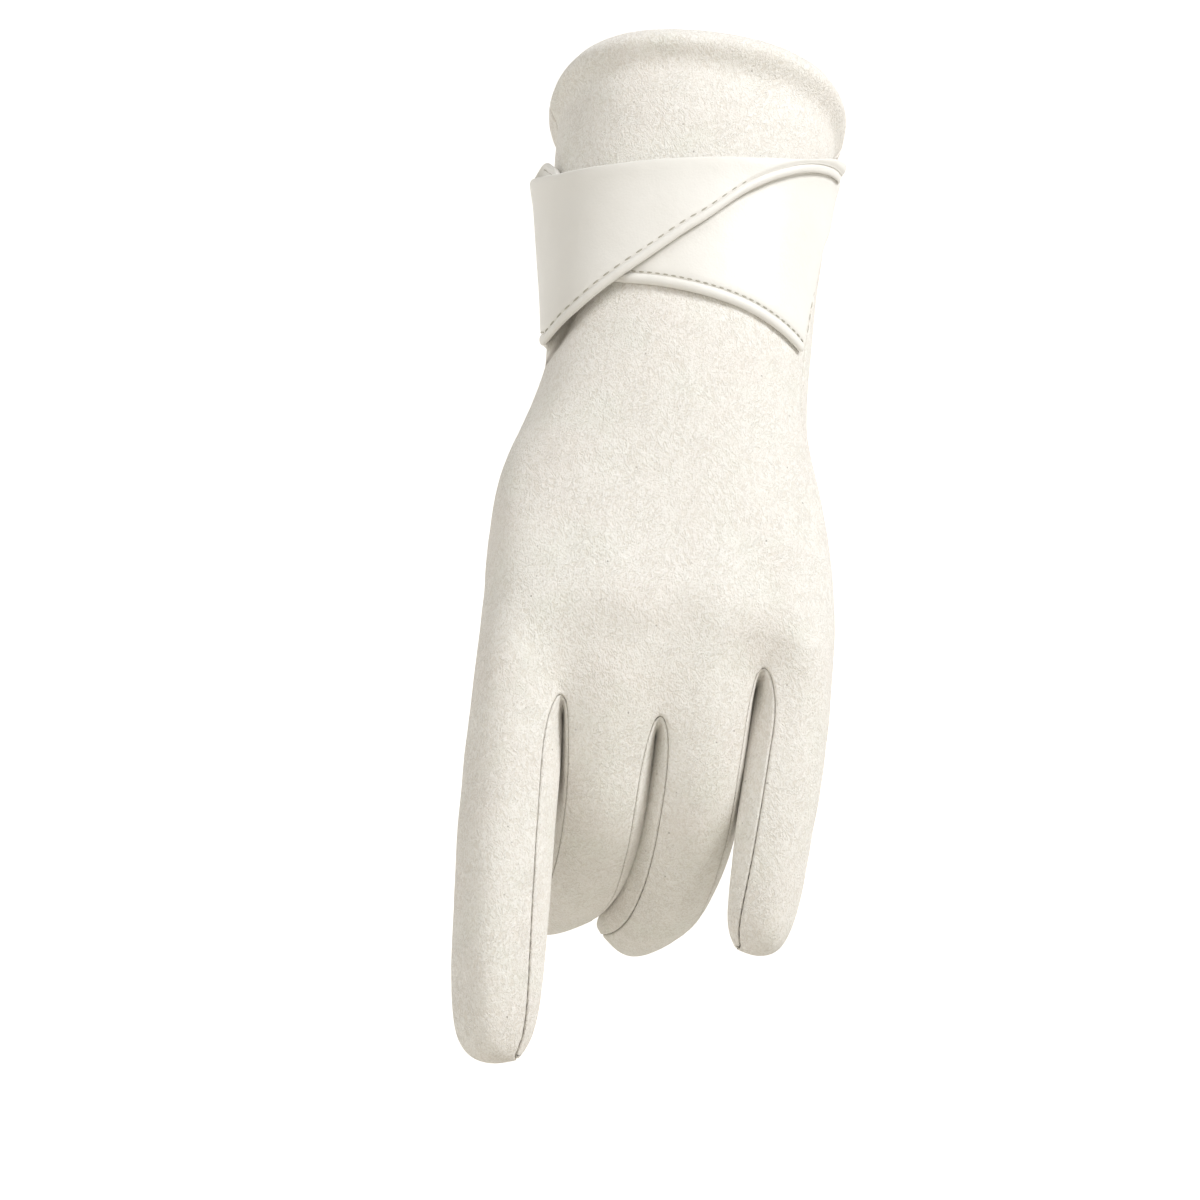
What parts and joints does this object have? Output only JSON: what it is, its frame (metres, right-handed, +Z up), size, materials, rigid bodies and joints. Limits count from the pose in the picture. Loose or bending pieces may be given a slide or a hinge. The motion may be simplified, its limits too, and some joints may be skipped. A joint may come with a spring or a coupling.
{
  "type": "suede glove",
  "caption": "Left dress glove of pale suede, hollow, held in worn form, with a crossed band of smooth leather round its cuff and a soft rolled hem.",
  "frame": {"origin": "centre of the narrowest section of the glove's wrist, where it sits on the wearer's wrist", "axes": "+Z up along the forearm to the cuff's rim, -Z to the fingertips, -Y the back of the hand, +Y the palm side, -X the thumb side"},
  "size_m": [0.0803, 0.1006, 0.2416],
  "materials": {
    "suede_back": "suede, short soft nap",
    "suede_palm": "suede, short soft nap",
    "smooth_leather": "smooth, satin",
    "leather_binding": "smooth, satin, stitched"
  },
  "bodies": {
    "root": {"back_panel": "suede_back", "palm_panel": "suede_palm", "thumb": "suede_palm", "fourchette_index_middle": "suede_palm", "fourchette_middle_ring": "suede_palm", "fourchette_ring_little": "suede_palm", "band_over": "smooth_leather", "band_under": "smooth_leather", "binding_over": "leather_binding", "binding_under": "leather_binding"}
  },
  "joints": []
}
